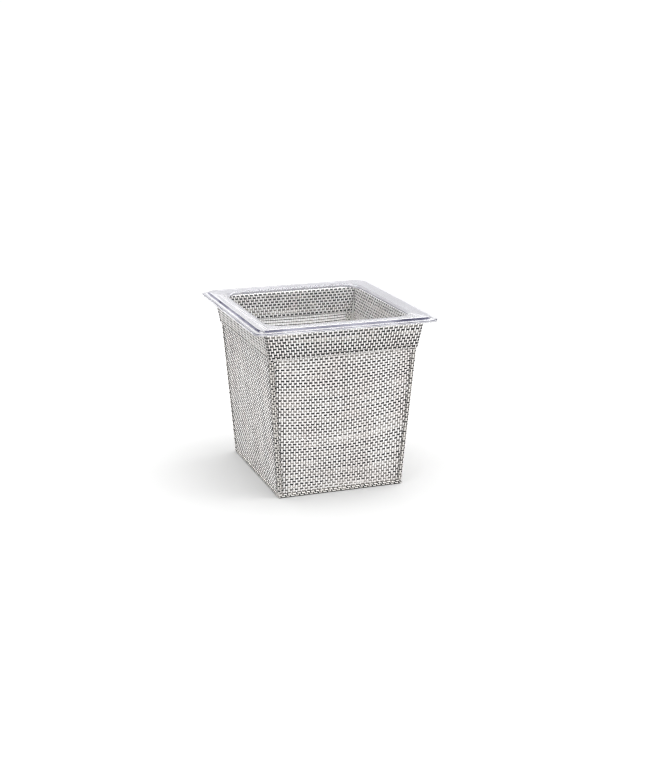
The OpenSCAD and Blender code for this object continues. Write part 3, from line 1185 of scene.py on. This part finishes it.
@dataclass
class FoodPan:
    """The clear pan: a deep tapered body under a stepped rim with a turned-down bead."""

    sizes: BasketSizes
    lip_w: float = 4.5
    lip_t: float = 2.4
    step_h: float = 1.6
    bead_w: float = 2.6
    wall_t: float = 2.2
    rim_r: float = 9.0
    step_r: float = 8.0
    opening_r: float = 18.0
    bottom_r: float = 14.0
    floor_fillet: float = 8.0
    mouth_round: float = 2.5
    edge_round: float = 0.6
    corner_steps: int = 14
    upright_under: float = 0.75
    sharp_angle: float = 38.0

    def ring(
        self, bm: bmesh.types.BMesh, hx: float, hy: float, r: float, z: float
    ) -> list[bmesh.types.BMEdge]:
        """Adds one rounded rectangle at height z and returns its edges.

        Args:
            bm: The mesh to add to.
            hx: Half its size in X.
            hy: Half its size in Y.
            r: Its corner radius.
            z: Its height.

        Returns:
            Its edges.
        """
        n = self.corner_steps
        made = bmesh.ops.create_circle(bm, segments=4 * n, radius=r, matrix=Matrix.Translation((0, 0, z)))
        for i, vert in enumerate(made["verts"]):
            quarter, step = divmod(i, n)
            a = math.pi / 2 * (quarter + step / (n - 1))
            sx, sy = (1, -1, -1, 1)[quarter], (1, 1, -1, -1)[quarter]
            vert.co = (sx * (hx - r) + r * math.cos(a), sy * (hy - r) + r * math.sin(a), z)
        return list({e for v in made["verts"] for e in v.link_edges})

    def edge_from(self, k: int) -> float:
        """Returns how far out on axis k the rim's stepped edge starts, in metres."""
        return (self.sizes.rim[k] - self.lip_w - 2 * self.edge_round) * MM

    def levels(self) -> list[tuple[float, float, float, float]]:
        """Returns the rings from the outside of the floor, over the rim, to the inside of the floor.

        Returns:
            The half sizes in X and Y, the corner radius and the height of each ring.
        """
        s = self.sizes
        step_z = s.height - self.step_h
        e, angles = self.edge_round, [0, 15, 30, 45, 60, 75, 90]

        def rim(inset: float, r: float, z: float) -> tuple[float, float, float, float]:
            """Returns a ring that lies inset from the rim's outer edge."""
            return s.rim[0] - inset, s.rim[1] - inset, r, z

        def fillet(inset: float, f: float, r: float, z: float, a: float) -> tuple[float, float, float, float]:
            """Returns one ring of the round between the floor and the wall.

            Args:
                inset: How far inside the body's outer face it is.
                f: The round's radius.
                r: The corner radius above the round.
                z: The floor's height.
                a: How far up the round the ring is, in degrees.

            Returns:
                The ring's half sizes, corner radius and height.
            """
            turn = f * (1 - math.sin(math.radians(a)))
            body = [s.pan_out(k, z + f) - inset - turn for k in (0, 1)]
            return body[0], body[1], r - turn, z + f * (1 - math.cos(math.radians(a)))

        outside = [fillet(0, self.floor_fillet, self.bottom_r, s.pan_z, a) for a in angles]
        body_r, bead_r = self.opening_r + self.wall_t, self.rim_r - self.bead_w
        body = (s.pan_out(0, s.rim_under), s.pan_out(1, s.rim_under), body_r, s.rim_under)
        lip_z = step_z - self.lip_t
        top = [
            rim(self.bead_w + e, bead_r - e, s.rim_under),
            rim(self.bead_w, bead_r, s.rim_under - e / 2),
            rim(self.bead_w, bead_r, lip_z),
            rim(e, self.rim_r - e, lip_z),
            rim(e / 4, self.rim_r - e / 4, lip_z + e / 4),
            rim(0, self.rim_r, lip_z + e),
            rim(0, self.rim_r, step_z - e),
            rim(e / 4, self.rim_r - e / 4, step_z - e / 4),
            rim(e, self.rim_r - e, step_z),
            rim(self.lip_w - e / 2, self.step_r + e / 2, step_z),
            rim(self.lip_w, self.step_r, step_z + e / 2),
            rim(self.lip_w + e / 3, self.step_r, s.height - e),
            rim(self.lip_w + e, self.step_r, s.height),
        ]
        mouth_in = s.flange_w + self.wall_t - self.mouth_round
        mouth = [
            rim(mouth_in + self.mouth_round * math.sin(math.radians(a)), self.opening_r,
                s.height - self.mouth_round * (1 - math.cos(math.radians(a))))
            for a in angles
        ]
        inner_f = self.floor_fillet - self.wall_t
        inside = [
            fillet(self.wall_t, inner_f, self.bottom_r - self.wall_t, s.pan_z + self.wall_t, a)
            for a in reversed(angles)
        ]
        return [*outside, body, *top, *mouth, *inside]

    def paint_rim_shade_and_highlight(self, pan: bpy.types.Object, edge: bpy.types.Material, lip: bpy.types.Material) -> None:
        """Gives the rim's upright outer faces a painted dark line above the lip's top and a painted highlight
        below.

        Args:
            pan: The pan.
            edge: The plastic with painted shade and painted reflection streaks, above the lip's top.
            lip: The plastic with a painted highlight, for the lip and the bead under it.
        """
        pan.data.materials.append(edge)
        pan.data.materials.append(lip)
        rim_low = (self.sizes.rim_under - self.lip_t) * MM
        lip_top = (self.sizes.height - self.step_h - self.edge_round) * MM
        for face in pan.data.polygons:
            x, y, z = face.center
            upright = abs(face.normal.z) < self.upright_under
            outside = abs(x) > self.edge_from(0) or abs(y) > self.edge_from(1)
            if upright and outside and z > rim_low:
                # painted light: a dark line on the step faces above the lip's top, a highlight on the lip and
                # bead below
                face.material_index = 1 if z > lip_top else 2

    def build(
        self, finish: bpy.types.Material, edge: bpy.types.Material, lip: bpy.types.Material
    ) -> bpy.types.Object:
        """Makes the pan and dresses it.

        Args:
            finish: The clear plastic.
            edge: The plastic with a painted dark line and painted reflection streaks, for the upright faces
                of the rim's steps.
            lip: The plastic with a painted highlight where the turned-down lip catches the light.

        Returns:
            The pan.
        """
        bm = bmesh.new()
        rings = [self.ring(bm, *level) for level in self.levels()]
        for lower, upper in zip(rings, rings[1:]):
            bmesh.ops.bridge_loops(bm, edges=lower + upper)
        for edges in (rings[0], rings[-1]):
            bmesh.ops.holes_fill(bm, edges=edges, sides=0)
        bmesh.ops.recalc_face_normals(bm, faces=bm.faces)
        pan = finish_piece(bm, "food_pan", finish)
        pan.data.set_sharp_from_angle(angle=math.radians(self.sharp_angle))
        self.paint_rim_shade_and_highlight(pan, edge, lip)
        dress(pan, Body.PAN, "clear_plastic", "pan")
        return pan


# ---- Studio ----


@dataclass
class Studio:
    """A pale floor, a white surround that is brighter overhead, soft light from the right, and the camera."""

    azimuth: float = -19.58
    elevation: float = 16.08
    distance: float = 1.2227
    target: tuple[float, float, float] = (0.00674, 0.0, 0.07475)
    lens: float = 63.52
    sensor: float = 36.0
    floor_half: float = 6000.0
    floor_colour: str = "#a3a3a3"
    floor_roughness: float = 0.9
    floor_gloss: float = 0.1
    sun_power: float = 1.5
    sun_softness: float = 44.0
    sun_from: tuple[float, float, float] = (0.52, -0.1, 0.86)
    sky: float = 1.03
    overhead: float = 4.8
    overhead_from: float = 0.62
    overhead_full: float = 0.86
    pixel_filter: float = 1.05

    def camera(self) -> None:
        """Adds the camera and makes it the scene's."""
        a, e = math.radians(self.azimuth), math.radians(self.elevation)
        back = Vector((math.sin(a) * math.cos(e), -math.cos(a) * math.cos(e), math.sin(e)))
        data = bpy.data.cameras.new("camera")
        data.lens, data.sensor_width = self.lens, self.sensor
        cam = bpy.data.objects.new("camera", data)
        cam.location = Vector(self.target) + back * self.distance
        cam.rotation_mode = "QUATERNION"
        cam.rotation_quaternion = (-back).to_track_quat("-Z", "Y")
        bpy.context.scene.collection.objects.link(cam)
        bpy.context.scene.camera = cam

    def floor(self) -> None:
        """Adds the floor."""
        bm = bmesh.new()
        bmesh.ops.create_grid(bm, x_segments=4, y_segments=4, size=self.floor_half)
        mat, tree = new_material("pale_floor")
        shader = tree.nodes["Principled BSDF"]
        shader.inputs["Base Color"].default_value = linear(self.floor_colour)
        shader.inputs["Roughness"].default_value = self.floor_roughness
        shader.inputs["Specular IOR Level"].default_value = self.floor_gloss
        finish_piece(bm, "floor", mat)

    def light(self) -> None:
        """Adds the white surround, brighter overhead, and one broad light from the right."""
        world = bpy.data.worlds.new("white_surround")
        world.use_nodes = True
        tree = world.node_tree
        where = add_node(tree, "ShaderNodeTexCoord")
        up = add_node(tree, "ShaderNodeSeparateXYZ", links={0: where.outputs["Generated"]})
        strength = add_node(
            tree, "ShaderNodeMapRange",
            {"From Min": self.overhead_from, "From Max": self.overhead_full,
             "To Min": self.sky, "To Max": self.overhead},
            {"Value": up.outputs["Z"]}, interpolation_type="SMOOTHSTEP",
        )
        tree.nodes["Background"].inputs["Color"].default_value = (1, 1, 1, 1)
        tree.links.new(strength.outputs["Result"], tree.nodes["Background"].inputs["Strength"])
        bpy.context.scene.world = world
        data = bpy.data.lights.new("broad_light", "SUN")
        data.energy, data.angle = self.sun_power, math.radians(self.sun_softness)
        lamp = bpy.data.objects.new("broad_light", data)
        lamp.rotation_mode = "QUATERNION"
        lamp.rotation_quaternion = (-Vector(self.sun_from)).to_track_quat("-Z", "Y")
        bpy.context.scene.collection.objects.link(lamp)
        bpy.context.scene.view_settings.view_transform = "Standard"
        bpy.context.scene.cycles.filter_width = self.pixel_filter

    def build(self) -> None:
        """Sets up the floor, the light and the camera."""
        self.floor()
        self.light()
        self.camera()


# ---- The whole basket ----


def main() -> None:
    """Builds the pieces in order."""
    logging.basicConfig(level=logging.INFO, format="%(name)s: %(message)s")
    Studio().build()
    sizes = BasketSizes()
    warp = VinylYarn(
        "off_white_vinyl_yarn", ((0.0, "#dad8d6"), (1.0, "#ecebea")),
        patch_tint="#f8f2f1", patch_share=0.6,
    )
    weft = VinylYarn(
        "dyed_vinyl_yarn",
        ((0.0, "#1e1e20"), (0.25, "#474443"), (0.5, "#77736f"), (0.75, "#a19d99"), (1.0, "#d0cdca")),
        roughness=0.42,
    )
    dyed = weft.material()
    yarns = {Yarn.WARP: warp.material(), Yarn.WEFT: dyed, Yarn.FLOAT: dyed}
    edging = {
        Yarn.WARP: VinylYarn("light_grey_vinyl_yarn", ((0.0, "#b9b5b0"), (1.0, "#dedbd7"))).material(),
        Yarn.WEFT: dyed,
    }
    cloths: list[ClothPiece] = []
    for i, side in enumerate(Side):
        cloths.append(WallPanel(side, sizes, seed=100 + 10 * i).piece())
        cloths.append(FoldedBand(side, sizes, seed=200 + 10 * i).piece())
        cloths.append(BottomEdge(side, sizes, seed=300 + 10 * i).piece())
    for i, (across, along) in enumerate(((-1, -1), (1, -1), (-1, 1), (1, 1))):
        cloths.append(CornerWrap(across, along, sizes, seed=400 + 10 * i).piece())
    cloths.append(BasePanel(sizes, seed=500).piece())
    for cloth in cloths:
        cloth.build(edging if cloth.slot == "edging_mesh" else yarns)
    Stitches(sizes).build(
        SewingThread("dark_grey_polyester_thread", "#3a3a3d", "#6a6967").material(),
        SewingThread("taupe_polyester_thread", "#4b4845", "#7b7772").material(),
    )
    FoodPan(sizes).build(
        ClearPlastic().material(),
        # copies of the plastic with painted light: painted shade with reflection streaks on the steps'
        # upright faces, then a painted highlight on the lip
        ClearPlastic(
            "clear_polycarbonate_painted_dark_edge", haze="#7c7c88", edge="#33334a", rim_haze=0.8, painted_streak_share=1.0
        ).material(),
        ClearPlastic(
            "clear_polycarbonate_lip", haze="#f0f0f2", edge="#84848f", rim_haze=0.6, painted_streak_share=0.7
        ).material(),
    )
    wire = CoatedWire().material()
    for name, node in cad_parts.items():
        if "hoop" in name or name.startswith("post"):
            node.data.materials.clear()
            node.data.materials.append(wire)


if __name__ == "__main__":
    main()
